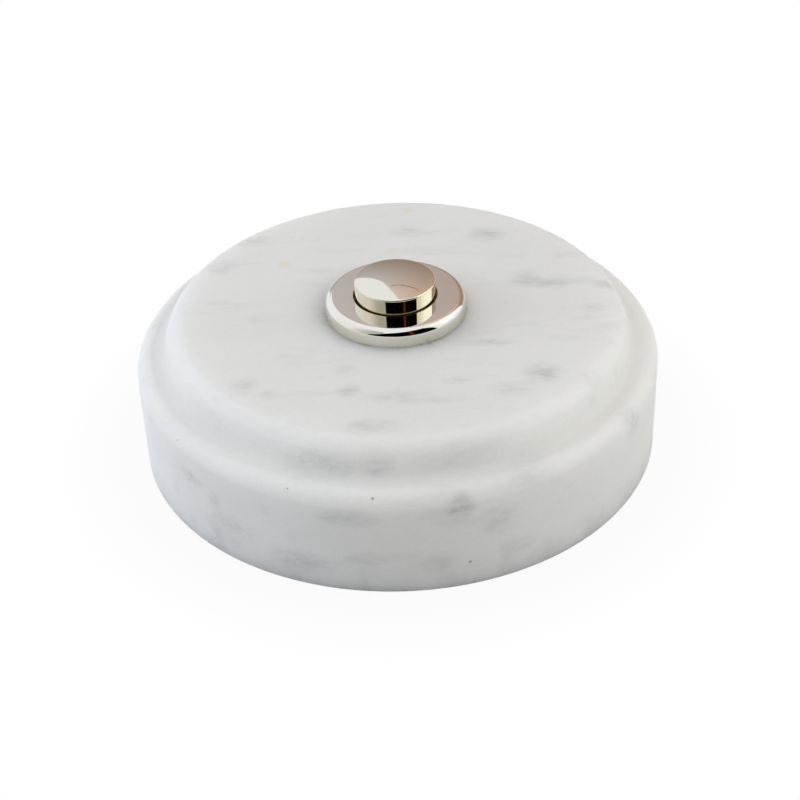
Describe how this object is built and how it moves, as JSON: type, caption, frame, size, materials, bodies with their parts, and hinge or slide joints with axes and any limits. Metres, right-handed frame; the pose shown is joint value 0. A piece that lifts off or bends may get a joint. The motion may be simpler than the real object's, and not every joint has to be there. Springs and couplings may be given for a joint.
{
  "type": "doorbell push button",
  "caption": "Round marble bell push with a coved edge, a polished metal bezel and a sprung button that bridges contacts behind it.",
  "frame": {"origin": "centre of the flat back face that goes against the wall", "axes": "+Z out of the wall along the button's axis, +X along the line of the two fixing inserts"},
  "size_m": [0.09, 0.09, 0.0312],
  "materials": {
    "marble": "polished white marble with soft grey veins",
    "nickel": "polished nickel plate on brass",
    "black_rubber": "moulded rubber",
    "fibre": "vulcanised fibre sheet",
    "zinc_steel": "zinc plated steel",
    "spring_steel": "oiled spring steel",
    "brass": "turned brass",
    "phenolic": "moulded phenolic",
    "nylon": "natural nylon"
  },
  "bodies": {
    "base": {"marble_base": "marble", "bezel": "nickel", "bezel_seal": "black_rubber", "cushion_washer": "fibre", "clamp_washer": "zinc_steel", "clamp_nut": "brass", "return_spring": "spring_steel", "guide_plate": "phenolic", "switch_cup": "phenolic", "cup_circlip": "spring_steel", "contact_post_left": "brass", "contact_post_right": "brass", "terminal_washer_left": "brass", "terminal_washer_right": "brass", "terminal_screw_left": "brass", "terminal_screw_right": "brass", "fixing_insert_left": "brass", "fixing_insert_right": "brass"},
    "push": {"button": "nickel", "stem": "zinc_steel", "stem_bush": "nylon", "contact_bridge": "brass", "bridge_washer": "nylon", "stem_clip": "spring_steel"}
  },
  "joints": [
    {"name": "button_press", "type": "slide", "parent": "base", "child": "push", "axis": [0, 0, -1], "range_m": [0, 0.0018], "stiffness_N_per_m": 700, "springref_m": -0.002, "deforming": ["return_spring"]}
  ]
}
